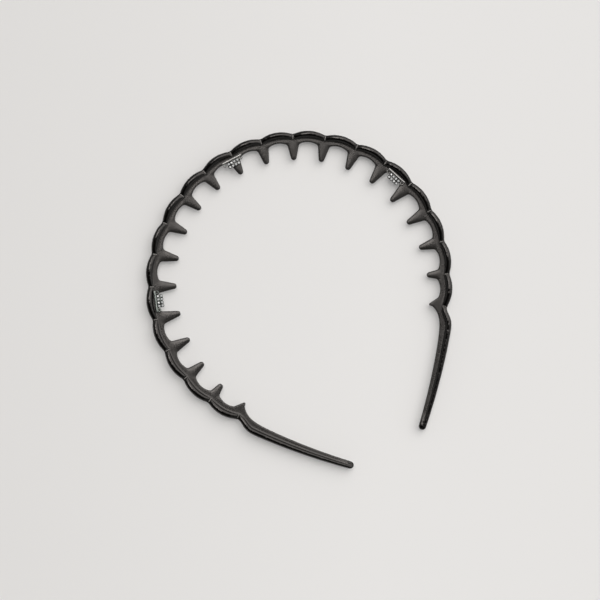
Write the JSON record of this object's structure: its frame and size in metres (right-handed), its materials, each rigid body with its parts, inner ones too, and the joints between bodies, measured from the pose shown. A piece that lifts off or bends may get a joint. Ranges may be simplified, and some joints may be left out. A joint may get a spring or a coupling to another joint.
{
  "type": "comb headband",
  "caption": "Springy comb headband: a scalloped rounded rim with inward-pointing hair teeth, tapered legs with rounded tips, and small jewelled silver trims.",
  "frame": {"origin": "middle of the footprint, on the surface that the band lies on", "axes": "+Z is the axis of the hoop, upwards from the surface; +Y points from the leg tips to the crown; +X is to the right, seen from above with the crown at the top"},
  "size_m": [0.1324, 0.146, 0.005],
  "materials": {
    "band_plastic": "black moulded plastic, glossy on the rounded rim and satin on the flat web and teeth",
    "trim_silver": "silver-coloured plated metal, dulled, and darker in its recesses",
    "trim_crystal": "clear faceted stones",
    "trim_adhesive": "cured translucent adhesive"
  },
  "bodies": {
    "crown": {"band_crown": "band_plastic", "crown_trim_adhesive_pad": "trim_adhesive", "crown_trim_setting": "trim_silver", "crown_trim_stone_a1": "trim_crystal", "crown_trim_stone_a2": "trim_crystal", "crown_trim_stone_a3": "trim_crystal", "crown_trim_stone_a4": "trim_crystal", "crown_trim_stone_b1": "trim_crystal", "crown_trim_stone_b2": "trim_crystal", "crown_trim_stone_b3": "trim_crystal", "crown_trim_stone_b4": "trim_crystal"},
    "right_leg": {"band_right_leg": "band_plastic", "right_trim_adhesive_pad": "trim_adhesive", "right_trim_setting": "trim_silver", "right_trim_stone_a1": "trim_crystal", "right_trim_stone_a2": "trim_crystal", "right_trim_stone_a3": "trim_crystal", "right_trim_stone_a4": "trim_crystal", "right_trim_stone_b1": "trim_crystal", "right_trim_stone_b2": "trim_crystal", "right_trim_stone_b3": "trim_crystal", "right_trim_stone_b4": "trim_crystal"},
    "left_leg": {"band_left_leg": "band_plastic", "left_trim_adhesive_pad": "trim_adhesive", "left_trim_setting": "trim_silver", "left_trim_stone_a1": "trim_crystal", "left_trim_stone_a2": "trim_crystal", "left_trim_stone_a3": "trim_crystal", "left_trim_stone_a4": "trim_crystal", "left_trim_stone_b1": "trim_crystal", "left_trim_stone_b2": "trim_crystal", "left_trim_stone_b3": "trim_crystal", "left_trim_stone_b4": "trim_crystal"}
  },
  "joints": [
    {"name": "right_leg_flex", "type": "hinge", "parent": "crown", "child": "right_leg", "pos_m": [0.04623, 0.05502, 0.0025], "axis": [0, 0, 1], "range_deg": [-3, 20], "stiffness_Nm_per_rad": 0.6},
    {"name": "left_leg_flex", "type": "hinge", "parent": "crown", "child": "left_leg", "pos_m": [-0.04623, 0.05502, 0.0025], "axis": [0, 0, -1], "range_deg": [-3, 20], "stiffness_Nm_per_rad": 0.6}
  ]
}
